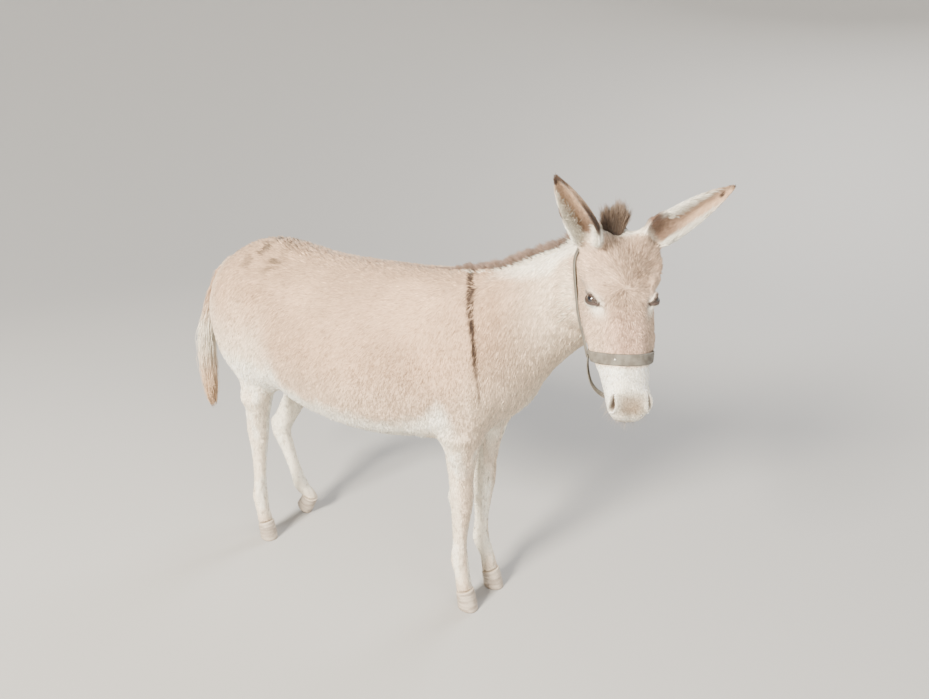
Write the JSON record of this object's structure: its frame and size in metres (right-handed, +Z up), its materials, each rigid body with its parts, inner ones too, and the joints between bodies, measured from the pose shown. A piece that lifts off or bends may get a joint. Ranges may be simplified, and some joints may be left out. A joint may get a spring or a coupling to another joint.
{
  "type": "donkey",
  "caption": "Life-size standing donkey with its head turned to its right, one hind foot rested on the toe, short upright mane and a plain webbing halter.",
  "frame": {"origin": "on the floor, under the middle of the whole donkey's bounding box", "axes": "+X forward along the trunk, +Y to the donkey's left, +Z up"},
  "size_m": [1.704, 0.5376, 1.3264],
  "materials": {
    "coat": "short hair, matt",
    "pale_coat": "short hair, matt",
    "mane": "coarse upright hair, matt",
    "eye": "wet, glossy",
    "hoof": "horn, satin, ringed",
    "webbing": "woven, matt"
  },
  "bodies": {
    "root": {"trunk": "coat", "neck": "coat", "head": "coat", "ear_right": "coat", "ear_left": "coat", "leg_fore_right": "pale_coat", "leg_fore_left": "pale_coat", "leg_hind_right": "pale_coat", "leg_hind_left": "pale_coat", "tail": "pale_coat", "mane": "mane", "forelock": "mane", "eye_right": "eye", "eye_left": "eye", "hoof_fore_right": "hoof", "hoof_fore_left": "hoof", "hoof_hind_right": "hoof", "hoof_hind_left": "hoof", "halter_noseband": "webbing", "halter_headstall": "webbing", "halter_chin_strap": "webbing"}
  },
  "joints": []
}
